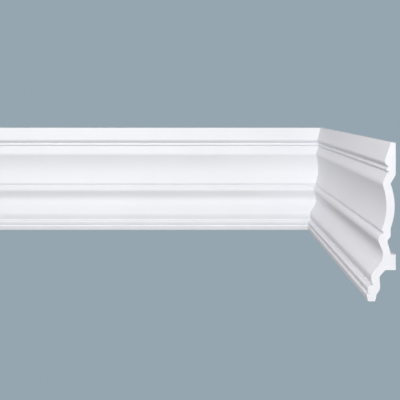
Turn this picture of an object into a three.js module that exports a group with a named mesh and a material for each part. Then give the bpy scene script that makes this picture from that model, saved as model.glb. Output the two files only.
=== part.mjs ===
// A moulded polymer skirting board that turns an inside corner: two straight lengths of one section, mitred
// where they meet and cut square at their free ends. Millimetres, +Z up. The origin is on the floor, under
// the middle of the box round both lengths. The walls are the planes of greatest X and greatest Y.
import * as THREE from 'three';

// Lengths along the two walls, each from the corner to the square cut
const BACK_RUN_LENGTH = 500;
const RETURN_LENGTH = 400;
const MITRE_GAP = 0.3;

// The section as a whole: its height, and how thick the moulding is, measured level
const BOARD_HEIGHT = 150;
const WALL = 7.8;
const ARRIS_EASE = 0.8;
const BACK_EASE = 2;

// Upper members: heights down from the top edge, and projections out from the wall
const TOP_THICKNESS = 4.8;
const FASCIA_HEIGHT = 18.6;
const FASCIA_PROJECTION = 10.9;
const NOSE_ROUNDING = 2.3;
const UPPER_QUIRK_HEIGHT = 4.4;
const UPPER_QUIRK_PROJECTION = 6.7;
const SMALL_BEAD_HEIGHT = 3.6;
const SMALL_BEAD_CREST = 0.3;
const SMALL_BEAD_PROJECTION = 8.9;
const SPLAY_HEIGHT = 10.3;
const SPLAY_TOP_PROJECTION = 7.8;
const SPLAY_SWELL = 0.15;
const ARRIS_PROJECTION = 12.7;
const ARRIS_ROUNDING = 3;

// The main cove fills the height that the members above and below it leave
const MAIN_COVE_DEPTH = 3.8;
const LIP_PROJECTION = 13.6;

// Narrow grooves that set off the beads
const QUIRK_HEIGHT = 1.1;
const WIDE_QUIRK_HEIGHT = 1.8;
const SMALL_BEAD_QUIRK_DEPTH = 0.9;
const LIP_QUIRK_DEPTH = 1.9;
const FOOT_BEAD_QUIRK_DEPTH = 1.4;

// Lower members: heights up from the floor, and projections out from the wall
const SOLE_PROJECTION = 26.4;
const SOLE_THICKNESS = 7;
const FILLET_HEIGHT = 6.7;
const FILLET_PROJECTION = 27.7;
const FILLET_ROUNDING = 1.4;
const FOOT_BEAD_HEIGHT = 6.9;
const FOOT_BEAD_CREST = 0.65;
const FOOT_BEAD_PROJECTION = 26.6;
const FOOT_QUIRK_PROJECTION = 21.4;
const OVOLO_DROP = 6.7;
const OVOLO_PROJECTION = 23.3;
const OGEE_HEIGHT = 21;
const LOWER_COVE_PROJECTION = 12.2;
const LOWER_COVE_HEIGHT = 13.6;
const TORUS_RISE = 6.2;
const TORUS_PROJECTION = 16.5;

// Behind: the thicker wall at the lip and torus, the tab against the wall, and the hollow heel under it
const BEAD_WALL = 8.8;
const TAB_HEIGHT = 14.7;
const NECK_WALL = 6.6;
const HEEL_TAPER = 1.4;

// How full the curves are: a quarter round, the round and hollow ends of each double curve, and how far
// down the main cove the rounding of the arris aims. Every curve is drawn in the same number of steps.
const QUARTER_ROUND = 0.55;
const TORUS_TURN = 0.23;
const LOWER_COVE_TURN = 0.4;
const OGEE_HOLLOW_TURN = 0.5;
const OGEE_ROUND_TURN = 0.24;
const MAIN_COVE_ENTRY = 0.25;
const CURVE_STEPS = 12;

// The finish of both boards
const PRIMER_WHITE = 0xf4f5f7;
const PRIMER_ROUGHNESS = 0.55;

// Heights above the floor where one member ends and the next begins
const fasciaFoot = BOARD_HEIGHT - FASCIA_HEIGHT;
const smallBeadTop = fasciaFoot - UPPER_QUIRK_HEIGHT;
const smallBeadFoot = smallBeadTop - SMALL_BEAD_HEIGHT;
const splayTop = smallBeadFoot - WIDE_QUIRK_HEIGHT;
const arris = splayTop - SPLAY_HEIGHT;
const footBeadFoot = FILLET_HEIGHT + QUIRK_HEIGHT;
const footBeadTop = footBeadFoot + FOOT_BEAD_HEIGHT;
const ovoloFoot = footBeadTop + WIDE_QUIRK_HEIGHT;
const ovoloCrest = ovoloFoot + OVOLO_DROP;
const lowerCove = ovoloCrest + OGEE_HEIGHT;
const torusCrest = lowerCove + LOWER_COVE_HEIGHT;
const torusTop = torusCrest + TORUS_RISE;
const lip = torusTop + WIDE_QUIRK_HEIGHT + QUIRK_HEIGHT;

const at = (projection, height) => new THREE.Vector2(projection, height);

function lineTo(outline, point) {
  outline.lineTo(point.x, point.y);
}

// A straight run to a corner that is eased over a short way, leaving it in the direction of next
function easedCorner(outline, corner, next, ease) {
  const before = outline.currentPoint.clone().sub(corner).setLength(ease).add(corner);
  const after = next.clone().sub(corner).setLength(ease).add(corner);
  lineTo(outline, before);
  outline.quadraticCurveTo(corner.x, corner.y, after.x, after.y);
}

// A quarter round from where the outline is to end, inside the given corner
function quarterRound(outline, corner, end) {
  const leaving = outline.currentPoint.clone().lerp(corner, QUARTER_ROUND);
  const arriving = end.clone().lerp(corner, QUARTER_ROUND);
  outline.bezierCurveTo(leaving.x, leaving.y, arriving.x, arriving.y, end.x, end.y);
}

// A double curve that starts and ends upright, each turn a share of the height between its ends
function doubleCurve(outline, end, startTurn, endTurn) {
  const start = outline.currentPoint.clone();
  const fall = end.y - start.y;
  outline.bezierCurveTo(start.x, start.y + fall * startTurn, end.x, end.y - fall * endTurn, end.x, end.y);
}

// A shallow hollow between two points, its middle set back level by depth. The control point of such a
// curve lies twice as far back as its middle.
function hollow(outline, end, depth) {
  const middle = outline.currentPoint.clone().lerp(end, 0.5);
  outline.quadraticCurveTo(middle.x - 2 * depth, middle.y, end.x, end.y);
}

function drawFascia(outline) {
  const nose = at(FASCIA_PROJECTION, fasciaFoot);
  const quirk = at(UPPER_QUIRK_PROJECTION, smallBeadTop);
  easedCorner(outline, at(TOP_THICKNESS, BOARD_HEIGHT), nose, ARRIS_EASE);
  easedCorner(outline, nose, quirk, NOSE_ROUNDING);
  lineTo(outline, quirk);
}

function drawSmallBead(outline) {
  const groove = SPLAY_TOP_PROJECTION - SMALL_BEAD_QUIRK_DEPTH;
  const crest = at(SMALL_BEAD_PROJECTION, smallBeadFoot + SMALL_BEAD_CREST * SMALL_BEAD_HEIGHT);
  quarterRound(outline, at(SMALL_BEAD_PROJECTION, smallBeadTop), crest);
  quarterRound(outline, at(SMALL_BEAD_PROJECTION, smallBeadFoot), at(groove, smallBeadFoot));
  lineTo(outline, at(groove, splayTop));
}

function drawSplayAndMainCove(outline) {
  const lipEdge = at(LIP_PROJECTION, lip);
  const arrisEdge = at(ARRIS_PROJECTION, arris);
  const intoCove = arrisEdge.clone().lerp(lipEdge, MAIN_COVE_ENTRY).sub(at(MAIN_COVE_DEPTH, 0));
  const splayEdge = at(SPLAY_TOP_PROJECTION, splayTop);
  const swell = splayEdge.clone().lerp(arrisEdge, 0.5).add(at(SPLAY_SWELL, 0));
  lineTo(outline, splayEdge);
  easedCorner(outline, swell, arrisEdge, ARRIS_ROUNDING / 2);
  easedCorner(outline, arrisEdge, intoCove, ARRIS_ROUNDING);
  hollow(outline, lipEdge, MAIN_COVE_DEPTH);
  lineTo(outline, at(LIP_PROJECTION - LIP_QUIRK_DEPTH, lip - QUIRK_HEIGHT));
  lineTo(outline, at(LIP_PROJECTION - LIP_QUIRK_DEPTH, torusTop));
}

function drawTorusAndLowerCove(outline) {
  quarterRound(outline, at(TORUS_PROJECTION, torusTop), at(TORUS_PROJECTION, torusCrest));
  doubleCurve(outline, at(LOWER_COVE_PROJECTION, lowerCove), TORUS_TURN, LOWER_COVE_TURN);
}

function drawOgee(outline) {
  const quirk = at(FOOT_QUIRK_PROJECTION, ovoloFoot);
  doubleCurve(outline, at(OVOLO_PROJECTION, ovoloCrest), OGEE_HOLLOW_TURN, OGEE_ROUND_TURN);
  quarterRound(outline, at(OVOLO_PROJECTION, ovoloFoot), quirk);
}

function drawFootBead(outline) {
  const groove = FOOT_BEAD_PROJECTION - FOOT_BEAD_QUIRK_DEPTH;
  const crest = at(FOOT_BEAD_PROJECTION, footBeadFoot + FOOT_BEAD_CREST * FOOT_BEAD_HEIGHT);
  lineTo(outline, at(FOOT_QUIRK_PROJECTION, footBeadTop));
  quarterRound(outline, at(FOOT_BEAD_PROJECTION, footBeadTop), crest);
  quarterRound(outline, at(FOOT_BEAD_PROJECTION, footBeadFoot), at(groove, footBeadFoot));
  lineTo(outline, at(groove, FILLET_HEIGHT));
}

function drawFillet(outline) {
  const filletEdge = at(FILLET_PROJECTION, FILLET_HEIGHT);
  const soleFront = at(SOLE_PROJECTION, 0);
  const soleBack = at(SOLE_PROJECTION - SOLE_THICKNESS, 0);
  easedCorner(outline, filletEdge, soleFront, FILLET_ROUNDING);
  easedCorner(outline, soleFront, soleBack, ARRIS_EASE);
}

// From the sole up the hollow heel to the tab, which touches the wall behind the lower cove
function drawHeelAndTab(outline) {
  const neck = FOOT_QUIRK_PROJECTION - NECK_WALL;
  const soleBack = at(SOLE_PROJECTION - SOLE_THICKNESS, 0);
  const heel = at(soleBack.x - HEEL_TAPER, FILLET_HEIGHT);
  const neckFoot = at(neck, (footBeadTop + footBeadFoot) / 2);
  const neckTop = at(neck, ovoloFoot);
  const ovoloBack = at(OVOLO_PROJECTION - WALL, ovoloCrest);
  const tabRoot = at((LOWER_COVE_PROJECTION + OVOLO_PROJECTION) / 2 - WALL, lowerCove - TAB_HEIGHT);
  easedCorner(outline, soleBack, heel, ARRIS_EASE);
  easedCorner(outline, heel, neckFoot, ARRIS_EASE);
  easedCorner(outline, neckFoot, neckTop, BACK_EASE);
  easedCorner(outline, neckTop, ovoloBack, BACK_EASE);
  easedCorner(outline, ovoloBack, tabRoot, BACK_EASE);
  lineTo(outline, tabRoot);
  lineTo(outline, at(0, tabRoot.y));
  lineTo(outline, at(0, lowerCove));
}

// From the tab up to the flat land at the top, a wall's thickness behind the front
function drawBackOfCoves(outline) {
  const coveBack = at(LOWER_COVE_PROJECTION - WALL, lowerCove);
  const torusBackFoot = at(TORUS_PROJECTION - BEAD_WALL, torusCrest - BACK_EASE);
  const torusBackTop = at(torusBackFoot.x, torusCrest);
  const lipBackFoot = at(LIP_PROJECTION - BEAD_WALL, torusTop - BACK_EASE - QUIRK_HEIGHT);
  const lipBackTop = at(lipBackFoot.x, lip + BACK_EASE);
  const arrisBack = at(ARRIS_PROJECTION - WALL, arris);
  const landFoot = at(0, splayTop - BACK_EASE);
  lineTo(outline, coveBack);
  easedCorner(outline, torusBackFoot, torusBackTop, BACK_EASE / 2);
  easedCorner(outline, torusBackTop, lipBackFoot, BACK_EASE / 2);
  easedCorner(outline, lipBackFoot, lipBackTop, BACK_EASE);
  lineTo(outline, lipBackTop);
  hollow(outline, arrisBack, MAIN_COVE_DEPTH);
  easedCorner(outline, landFoot, at(0, BOARD_HEIGHT), BACK_EASE);
}

function boardSection() {
  const outline = new THREE.Shape();
  outline.moveTo(0, BOARD_HEIGHT);
  drawFascia(outline);
  drawSmallBead(outline);
  drawSplayAndMainCove(outline);
  drawTorusAndLowerCove(outline);
  drawOgee(outline);
  drawFootBead(outline);
  drawFillet(outline);
  drawHeelAndTab(outline);
  drawBackOfCoves(outline);
  outline.closePath();
  return outline;
}

// A length of the section along its own +Z. One end is square, the other is cut back at 45 degrees, so
// that it is longest at the wall. The gap is measured square to that cut and shared by both boards.
function mitredBoard(length, mitreAtStart) {
  const settings = { depth: length, steps: 1, bevelEnabled: false, curveSegments: CURVE_STEPS };
  const geometry = new THREE.ExtrudeGeometry(boardSection(), settings);
  const position = geometry.attributes.position;
  const halfGapAlong = MITRE_GAP / Math.SQRT2;
  for (let i = 0; i < position.count; i += 1) {
    const cutBack = position.getX(i) + halfGapAlong;
    const atStart = position.getZ(i) < length / 2;
    if (atStart === mitreAtStart) {
      position.setZ(i, mitreAtStart ? cutBack : length - cutBack);
    }
  }
  geometry.computeVertexNormals();
  return geometry;
}

function primedPolymer() {
  return new THREE.MeshStandardMaterial({ color: PRIMER_WHITE, roughness: PRIMER_ROUGHNESS, metalness: 0 });
}

// A board placed so that its projection points along outward and its length along onward
function placedBoard(name, length, mitreAtStart, outward, onward) {
  const mesh = new THREE.Mesh(mitredBoard(length, mitreAtStart), primedPolymer());
  const up = new THREE.Vector3(0, 0, 1);
  mesh.name = name;
  mesh.setRotationFromMatrix(new THREE.Matrix4().makeBasis(outward, up, onward));
  return mesh;
}

// Along the far wall, from the corner to the left
function backRun() {
  const outward = new THREE.Vector3(0, -1, 0);
  const onward = new THREE.Vector3(-1, 0, 0);
  return placedBoard('skirting_back_run', BACK_RUN_LENGTH, true, outward, onward);
}

// Along the side wall, from the square end up to the corner
function returnRun() {
  const outward = new THREE.Vector3(-1, 0, 0);
  const onward = new THREE.Vector3(0, 1, 0);
  const mesh = placedBoard('skirting_return', RETURN_LENGTH, false, outward, onward);
  mesh.position.y = -RETURN_LENGTH;
  return mesh;
}

const group = new THREE.Group();
group.add(backRun());
group.add(returnRun());
group.position.set(BACK_RUN_LENGTH / 2, RETURN_LENGTH / 2, 0);

export default group;
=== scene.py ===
"""Dresses a moulded skirting board that turns an inside corner: two mitred lengths in white primed polymer.

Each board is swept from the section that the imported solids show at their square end, with its arrises
softened as moulded ones are, and closed by a sawn face with the fine open cells of foamed polymer.
Metres, +Z up, the walls at the greatest X and the greatest Y.
"""
import math
import random

import bmesh
import bpy
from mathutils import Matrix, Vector
from mathutils.geometry import delaunay_2d_cdt


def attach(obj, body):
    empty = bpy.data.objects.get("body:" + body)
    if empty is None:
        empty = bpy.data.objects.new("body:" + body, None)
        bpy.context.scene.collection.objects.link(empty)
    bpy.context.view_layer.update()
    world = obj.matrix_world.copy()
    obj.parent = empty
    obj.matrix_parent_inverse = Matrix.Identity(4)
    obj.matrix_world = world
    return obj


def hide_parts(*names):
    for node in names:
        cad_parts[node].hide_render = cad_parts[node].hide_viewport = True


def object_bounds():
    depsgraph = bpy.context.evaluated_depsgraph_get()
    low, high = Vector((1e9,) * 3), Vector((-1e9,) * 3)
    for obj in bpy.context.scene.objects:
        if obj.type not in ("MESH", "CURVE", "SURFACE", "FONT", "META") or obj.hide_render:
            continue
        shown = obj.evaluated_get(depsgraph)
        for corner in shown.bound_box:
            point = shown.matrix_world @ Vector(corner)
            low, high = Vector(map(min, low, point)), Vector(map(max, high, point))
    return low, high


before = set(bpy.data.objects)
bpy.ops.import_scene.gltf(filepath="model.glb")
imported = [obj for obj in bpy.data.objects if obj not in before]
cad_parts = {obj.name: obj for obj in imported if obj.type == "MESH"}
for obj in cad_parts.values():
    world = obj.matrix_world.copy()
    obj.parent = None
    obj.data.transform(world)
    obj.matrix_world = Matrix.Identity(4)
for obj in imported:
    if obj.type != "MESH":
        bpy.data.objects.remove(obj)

cad_low, cad_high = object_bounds()

BACK_NODE = "skirting_back_run"
RETURN_NODE = "skirting_return"

# The room: the two wall planes, and the square ends of the boards
WALL_X = cad_high.x
WALL_Y = cad_high.y
BACK_END_X = cad_low.x
RETURN_END_Y = cad_low.y

# The boards. The half gap is measured along a board, points closer than the weld count as one, and an
# arris is eased where the outline turns by more than the corner turn, over at most a share of each side.
MITRE_HALF_GAP = 0.00002
WELD = 0.00002
CORNER_TURN = math.radians(24)
ARRIS_RADIUS = 0.00025
ARRIS_REACH = 0.4
ARRIS_STEPS = 4
END_BEVEL = 0.00012
RING_SPACING = 0.012
SHARP_TURN = math.radians(32)

# A board's materials, in their order on the mesh
PRIMER = 0
SAWN = 1

# The sawn faces: a grid of cells, each moved by up to a share of the pitch and sunk by up to the depth
CELL_PITCH = 0.0009
CELL_JITTER = 0.3
CELL_DEPTH = 0.0001
CELL_MARGIN = 0.0006
CELL_SEED = 7
FILL_INSIDE = 1
FILL_TOLERANCE = 1e-9

# The finishes: the darker and the lighter tint, the roughness from the low to the high noise, noises as
# features in a metre and octaves, and bumps as a strength and a height
NOISE_LOW = 0.3
NOISE_HIGH = 0.7
EVEN = (1, 1, 1)
PRIMER_TINTS = ((0.762, 0.763, 0.802), (0.786, 0.785, 0.820))
PRIMER_ROUGHNESS = (0.46, 0.60)
PRIMER_IOR = 1.46
CLOUD = (14, 3)
PEEL = (900, 2)
PEEL_BUMP = (0.15, 0.00015)
LINES = (1600, 2)
LINE_BUMP = (0.12, 0.00012)
LINE_STRETCH = 0.02
SAWN_TINTS = ((0.801, 0.793, 0.847), (0.840, 0.830, 0.881))
SAWN_ROUGHNESS = (0.86, 0.78)
SAWN_CLOUD = (60, 3)
OPEN_CELLS_SCALE = 1500
OPEN_CELLS_BUMP = (0.35, 0.0002)

# The camera: one-point perspective, level, with the view shifted down to the boards
CAMERA_FROM_SIDE_WALL = 0.1843
CAMERA_FROM_CUT_END = 0.6702
CAMERA_HEIGHT = 0.1884
LENS = 63.765
SENSOR = 36
SHIFT_X = -0.0024
SHIFT_Y = -0.24455
NEAREST_SEEN = 0.01
FURTHEST_SEEN = 100

# The stage: its colour to the eye, and the even white light that the boards get from it
FLOOR_SIZE = 60
STAGE_COLOUR = (0.301, 0.381, 0.434)
FLOOR_LIGHT = 0.29
SKY_LIGHT = 0.36

# The lamps, in degrees round from the front to the left and degrees up, and each with a slight tint. The
# soft boxes are aimed at the cut end, and have a distance, a width and a power too; the broad lights are
# far off, with a strength.
SOFT_BOX_TARGET = Vector((WALL_X - 0.01, RETURN_END_Y + 0.05, 0.08))
SOFT_BOXES = (
    ("key", 45, 50, 0.9, 0.45, 3.6, (1.015, 0.97, 1.01)),
    ("low_fill", 10, 10, 0.9, 0.45, 2.7, (0.99, 1.02, 0.99)),
    ("left_fill", 80, 20, 0.9, 0.45, 0.8, (1, 1, 1)),
)
BROAD_LIGHTS = (
    ("front", 10, 8, 1.03, (0.98, 1.04, 0.98)),
    ("behind", 225, 4, 0.7, (1, 1, 1)),
)
BROAD_SPREAD = math.radians(30)


def section_loop(node_name):
    """The outline of the node's square end at least X, as (projection from the wall, height) in order."""
    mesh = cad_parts[node_name].data
    on_end = [abs(vertex.co.x - BACK_END_X) < WELD for vertex in mesh.vertices]

    def key(index):
        place = mesh.vertices[index].co
        return (round((WALL_Y - place.y) / WELD), round(place.z / WELD))

    place_of = {key(i): (WALL_Y - v.co.y, v.co.z) for i, v in enumerate(mesh.vertices) if on_end[i]}
    rim = set()
    for face in mesh.polygons:
        if not all(on_end[i] for i in face.vertices):
            continue
        corners = [key(i) for i in face.vertices]
        for here, there in zip(corners, corners[1:] + corners[:1]):
            if (there, here) in rim:
                rim.remove((there, here))
            else:
                rim.add((here, there))
    following = dict(rim)
    first = min(following)
    loop = [first]
    while following[loop[-1]] != first:
        loop.append(following[loop[-1]])
    return [Vector(place_of[k]) for k in loop]


def turn_at(before, corner, after):
    """How far the outline turns at a point, in radians."""
    return abs((corner - before).angle_signed(after - corner))


def softened(loop):
    """The loop with every true corner eased by a small radius, and the sampled curves left as they are."""
    eased = []
    for index, corner in enumerate(loop):
        before = loop[index - 1]
        after = loop[(index + 1) % len(loop)]
        if turn_at(before, corner, after) < CORNER_TURN:
            eased.append(corner)
            continue
        shorter_side = min((corner - before).length, (after - corner).length)
        reach = min(ARRIS_RADIUS, ARRIS_REACH * shorter_side)
        start = corner + (before - corner).normalized() * reach
        end = corner + (after - corner).normalized() * reach
        for step in range(ARRIS_STEPS + 1):
            share = step / ARRIS_STEPS
            eased.append(start.lerp(corner, share).lerp(corner.lerp(end, share), share))
    return eased


def inset(loop, distance):
    """The loop moved inwards, square to itself, by a small distance."""
    clockwise = sum(a.x * b.y - b.x * a.y for a, b in zip(loop, loop[1:] + loop[:1])) < 0
    side = 1 if clockwise else -1
    moved = []
    for index, point in enumerate(loop):
        along = (loop[(index + 1) % len(loop)] - loop[index - 1]).normalized()
        moved.append(point + Vector((along.y, -along.x)) * side * distance)
    return moved


def inside(loop, point):
    """True if the point lies within the loop."""
    crossings = 0
    for a, b in zip(loop, loop[1:] + loop[:1]):
        if (a.y > point.y) != (b.y > point.y):
            if point.x < a.x + (point.y - a.y) * (b.x - a.x) / (b.y - a.y):
                crossings += 1
    return crossings % 2 == 1


def clearance(loop, point):
    """The distance from the point to the nearest vertex of the loop."""
    return min((vertex - point).length for vertex in loop)


def cell_points(loop):
    """Jittered points on a grid inside the loop, for the cells that the saw has opened."""
    draw = random.Random(CELL_SEED)
    points = []
    columns = int(max(p.x for p in loop) / CELL_PITCH) + 1
    rows = int(max(p.y for p in loop) / CELL_PITCH) + 1
    for row in range(rows):
        for column in range(columns):
            shift = 0.5 * (row % 2)
            x = (column + shift + draw.uniform(-CELL_JITTER, CELL_JITTER)) * CELL_PITCH
            y = (row + draw.uniform(-CELL_JITTER, CELL_JITTER)) * CELL_PITCH
            point = Vector((x, y))
            if inside(loop, point) and clearance(loop, point) > CELL_MARGIN:
                points.append((point, draw.random()))
    return points


class Board:
    """One mitred length: rings of the section swept from the mitre to the square end."""

    def __init__(self, name, node_name, length, place):
        self.name = name
        self.node_name = node_name
        self.length = length
        self.place = place
        self.vertices = []
        self.faces = []
        self.face_materials = []

    def add_ring(self, loop, station):
        """Adds the loop at station(point) along the board, and returns its vertex numbers."""
        first = len(self.vertices)
        self.vertices += [self.place(p.x, p.y, station(p)) for p in loop]
        return list(range(first, len(self.vertices)))

    def join(self, ring, following, material):
        """Adds the faces between two rings."""
        for i in range(len(ring)):
            j = (i + 1) % len(ring)
            self.faces.append((ring[i], ring[j], following[j], following[i]))
            self.face_materials.append(material)

    def close(self, ring, loop, station, cells, material):
        """Fills a ring with triangles, with the given extra points sunk into the face."""
        first = len(self.vertices)
        for point, depth in cells:
            self.vertices.append(self.place(point.x, point.y, station(point) - depth * CELL_DEPTH))
        numbers = ring + list(range(first, len(self.vertices)))
        points = list(loop) + [point for point, _ in cells]
        edges = [(i, (i + 1) % len(loop)) for i in range(len(loop))]
        filled = delaunay_2d_cdt(points, edges, [], FILL_INSIDE, FILL_TOLERANCE)
        _, _, triangles, origins, _, _ = filled
        for triangle in triangles:
            self.faces.append(tuple(numbers[origins[i][0]] for i in triangle))
            self.face_materials.append(material)

    def build(self, loop):
        """The board's mesh object, with the mitre at its first ring and the sawn face at its last."""
        count = max(2, round(self.length / RING_SPACING))
        square = self.length - END_BEVEL
        rings = []
        for step in range(count + 1):
            share = step / count
            rings.append(
                self.add_ring(loop, lambda p: (p.x + MITRE_HALF_GAP) * (1 - share) + square * share)
            )
        for ring, following in zip(rings, rings[1:]):
            self.join(ring, following, PRIMER)
        rim = inset(loop, END_BEVEL)
        rim_ring = self.add_ring(rim, lambda p: self.length)
        self.join(rings[-1], rim_ring, PRIMER)
        self.close(rim_ring, rim, lambda p: self.length, cell_points(rim), SAWN)
        self.close(rings[0], loop, lambda p: p.x + MITRE_HALF_GAP, [], SAWN)
        return self.finished()

    def finished(self):
        """The object made of the faces so far, smooth along the curves and sharp at the sawn edges."""
        mesh = bpy.data.meshes.new(self.name)
        mesh.from_pydata(self.vertices, [], self.faces)
        mesh.update()
        mesh.polygons.foreach_set("material_index", self.face_materials)
        mesh.validate()
        piece = bpy.data.objects.new(self.name, mesh)
        bpy.context.scene.collection.objects.link(piece)
        face_outwards(piece)
        mesh.polygons.foreach_set("use_smooth", [True] * len(mesh.polygons))
        mesh.set_sharp_from_angle(angle=SHARP_TURN)
        return piece


def face_outwards(piece):
    """Turns every face of the piece to the outside."""
    work = bmesh.new()
    work.from_mesh(piece.data)
    bmesh.ops.recalc_face_normals(work, faces=work.faces)
    work.to_mesh(piece.data)
    work.free()


def new_material(name):
    """A node material, with its nodes and links."""
    material = bpy.data.materials.new(name)
    material.use_nodes = True
    return material, material.node_tree.nodes, material.node_tree.links


def add_noise(nodes, links, coordinates, grain, stretch):
    """Noise in the object's own metres, drawn out along an axis where stretch is under 1."""
    scale, detail = grain
    mapping = nodes.new("ShaderNodeMapping")
    mapping.inputs["Scale"].default_value = stretch
    links.new(coordinates.outputs["Object"], mapping.inputs["Vector"])
    noise = nodes.new("ShaderNodeTexNoise")
    noise.inputs["Scale"].default_value = scale
    noise.inputs["Detail"].default_value = detail
    links.new(mapping.outputs["Vector"], noise.inputs["Vector"])
    return noise


def spread(nodes, links, source, low, high):
    """The source's middle range, mapped to low and high."""
    fitted = nodes.new("ShaderNodeMapRange")
    fitted.inputs["From Min"].default_value = NOISE_LOW
    fitted.inputs["From Max"].default_value = NOISE_HIGH
    fitted.inputs["To Min"].default_value = low
    fitted.inputs["To Max"].default_value = high
    links.new(source, fitted.inputs["Value"])
    return fitted.outputs["Result"]


def tinted(nodes, links, factor, dark, light):
    """A colour between the two tints."""
    mix = nodes.new("ShaderNodeMix")
    mix.data_type = "RGBA"
    mix.inputs["A"].default_value = (*dark, 1)
    mix.inputs["B"].default_value = (*light, 1)
    links.new(factor, mix.inputs["Factor"])
    return mix.outputs["Result"]


def add_bump(nodes, links, height, size, under=None):
    """A normal that the height tilts, over another one if there is one under it."""
    strength, distance = size
    bump = nodes.new("ShaderNodeBump")
    bump.inputs["Strength"].default_value = strength
    bump.inputs["Distance"].default_value = distance
    links.new(height, bump.inputs["Height"])
    if under is not None:
        links.new(under, bump.inputs["Normal"])
    return bump.outputs["Normal"]


def primed_surface(name, along):
    """Smooth matte white primer: a faint orange peel, and fainter lines drawn out along the board."""
    material, nodes, links = new_material(name)
    shader = nodes["Principled BSDF"]
    coordinates = nodes.new("ShaderNodeTexCoord")
    cloud = add_noise(nodes, links, coordinates, CLOUD, EVEN)
    peel = add_noise(nodes, links, coordinates, PEEL, EVEN)
    lines = add_noise(nodes, links, coordinates, LINES, along)
    tone = spread(nodes, links, cloud.outputs["Fac"], 0, 1)
    roughness = spread(nodes, links, peel.outputs["Fac"], *PRIMER_ROUGHNESS)
    drawn = add_bump(nodes, links, lines.outputs["Fac"], LINE_BUMP)
    links.new(tinted(nodes, links, tone, *PRIMER_TINTS), shader.inputs["Base Color"])
    links.new(roughness, shader.inputs["Roughness"])
    links.new(add_bump(nodes, links, peel.outputs["Fac"], PEEL_BUMP, drawn), shader.inputs["Normal"])
    shader.inputs["IOR"].default_value = PRIMER_IOR
    return material


def sawn_foam(name):
    """The sawn end: matte, with the small open cells of foamed polymer."""
    material, nodes, links = new_material(name)
    shader = nodes["Principled BSDF"]
    coordinates = nodes.new("ShaderNodeTexCoord")
    cells = nodes.new("ShaderNodeTexVoronoi")
    cells.inputs["Scale"].default_value = OPEN_CELLS_SCALE
    links.new(coordinates.outputs["Object"], cells.inputs["Vector"])
    cloud = add_noise(nodes, links, coordinates, SAWN_CLOUD, EVEN)
    tone = spread(nodes, links, cloud.outputs["Fac"], 0, 1)
    roughness = spread(nodes, links, cells.outputs["Distance"], *SAWN_ROUGHNESS)
    links.new(tinted(nodes, links, tone, *SAWN_TINTS), shader.inputs["Base Color"])
    links.new(roughness, shader.inputs["Roughness"])
    links.new(add_bump(nodes, links, cells.outputs["Distance"], OPEN_CELLS_BUMP), shader.inputs["Normal"])
    return material


def dressed(board, loop, along):
    """Builds a board, gives it its finish and puts it in the place of its solid."""
    piece = board.build(loop)
    piece.data.materials.append(primed_surface(board.name + "_primer", along))
    piece.data.materials.append(sawn_foam(board.name + "_sawn"))
    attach(piece, "root")
    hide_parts(board.node_name)
    return piece


def back_place(projection, height, station):
    """A point of the back run, its station counted from the side wall."""
    return (WALL_X - station, WALL_Y - projection, height)


def return_place(projection, height, station):
    """A point of the return, its station counted from the far wall."""
    return (WALL_X - projection, WALL_Y - station, height)


def make_boards():
    """Both boards, from the one section, with the primer's lines drawn out along each."""
    loop = softened(section_loop(BACK_NODE))
    back_length = WALL_X - BACK_END_X
    return_length = WALL_Y - RETURN_END_Y
    back = Board("back_run_board", BACK_NODE, back_length, back_place)
    side = Board("return_board", RETURN_NODE, return_length, return_place)
    dressed(back, loop, (LINE_STRETCH, 1, 1))
    dressed(side, loop, (1, LINE_STRETCH, 1))


def make_camera():
    """A level camera that looks square at the back run and at the cut end."""
    data = bpy.data.cameras.new("camera")
    data.lens = LENS
    data.sensor_width = SENSOR
    data.sensor_fit = "HORIZONTAL"
    data.shift_x = SHIFT_X
    data.shift_y = SHIFT_Y
    data.clip_start = NEAREST_SEEN
    data.clip_end = FURTHEST_SEEN
    camera = bpy.data.objects.new("camera", data)
    camera.location = (WALL_X - CAMERA_FROM_SIDE_WALL, RETURN_END_Y - CAMERA_FROM_CUT_END, CAMERA_HEIGHT)
    camera.rotation_euler = (math.radians(90), 0, 0)
    bpy.context.scene.collection.objects.link(camera)
    bpy.context.scene.camera = camera


def seen_and_cast(nodes, links, seen, cast):
    """A shader that shows one shader to the camera and gives the light of the other to the pieces."""
    path = nodes.new("ShaderNodeLightPath")
    mix = nodes.new("ShaderNodeMixShader")
    links.new(path.outputs["Is Camera Ray"], mix.inputs["Fac"])
    links.new(cast, mix.inputs[1])
    links.new(seen, mix.inputs[2])
    return mix.outputs["Shader"]


def even_light(nodes, kind, colour, strength):
    """A light of one colour all over: an Emission for a surface, or a Background for the sky."""
    node = nodes.new(kind)
    node.inputs["Color"].default_value = (*colour, 1)
    node.inputs["Strength"].default_value = strength
    return node.outputs[0]


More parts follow.
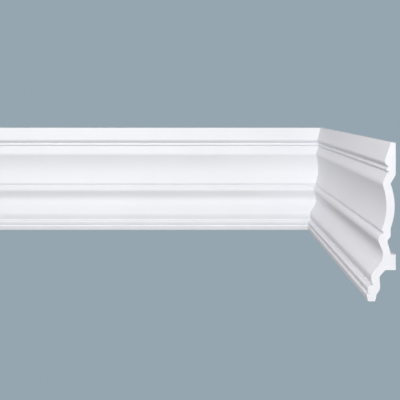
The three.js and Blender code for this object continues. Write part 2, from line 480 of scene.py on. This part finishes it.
def make_stage():
    """A plain pale floor that meets a backdrop of its own colour, so that no horizon shows."""
    material, nodes, links = new_material("stage_paint")
    nodes.remove(nodes["Principled BSDF"])
    shown = even_light(nodes, "ShaderNodeEmission", STAGE_COLOUR, 1)
    cast = even_light(nodes, "ShaderNodeEmission", (1, 1, 1), FLOOR_LIGHT)
    links.new(seen_and_cast(nodes, links, shown, cast), nodes["Material Output"].inputs["Surface"])
    half = FLOOR_SIZE / 2
    mesh = bpy.data.meshes.new("floor")
    corners = [(-half, -half, 0), (half, -half, 0), (half, half, 0), (-half, half, 0)]
    mesh.from_pydata(corners, [], [(0, 1, 2, 3)])
    mesh.materials.append(material)
    floor = bpy.data.objects.new("floor", mesh)
    bpy.context.scene.collection.objects.link(floor)


def make_sky():
    """The backdrop's colour to the eye, and an even white light to the boards."""
    world = bpy.data.worlds.new("studio")
    world.use_nodes = True
    bpy.context.scene.world = world
    nodes = world.node_tree.nodes
    links = world.node_tree.links
    nodes.remove(nodes["Background"])
    shown = even_light(nodes, "ShaderNodeBackground", STAGE_COLOUR, 1)
    cast = even_light(nodes, "ShaderNodeBackground", (1, 1, 1), SKY_LIGHT)
    links.new(seen_and_cast(nodes, links, shown, cast), nodes["World Output"].inputs["Surface"])


def add_lamp(name, kind, round_left, up, power, tint):
    """A lamp that shines from the given side, and the direction towards it."""
    turn = math.radians(round_left)
    rise = math.radians(up)
    towards = Vector((-math.sin(turn) * math.cos(rise), -math.cos(turn) * math.cos(rise), math.sin(rise)))
    lamp = bpy.data.objects.new(name, bpy.data.lights.new(name, kind))
    lamp.data.energy = power
    lamp.data.color = tint
    lamp.rotation_euler = towards.to_track_quat("Z", "Y").to_euler()
    lamp.visible_camera = False
    bpy.context.scene.collection.objects.link(lamp)
    return lamp, towards


def make_lights():
    """Three soft boxes near the cut end and two broad lights from far off."""
    for name, round_left, up, distance, width, power, tint in SOFT_BOXES:
        lamp, towards = add_lamp(name, "AREA", round_left, up, power, tint)
        lamp.data.shape = "SQUARE"
        lamp.data.size = width
        lamp.location = SOFT_BOX_TARGET + towards * distance
    for name, round_left, up, strength, tint in BROAD_LIGHTS:
        lamp, _ = add_lamp(name, "SUN", round_left, up, strength, tint)
        lamp.data.angle = BROAD_SPREAD


def set_colours():
    """Colours shown as they are, without a film look."""
    scene = bpy.context.scene
    scene.view_settings.view_transform = "Standard"
    scene.view_settings.look = "None"


make_boards()
make_camera()
make_stage()
make_sky()
make_lights()
set_colours()
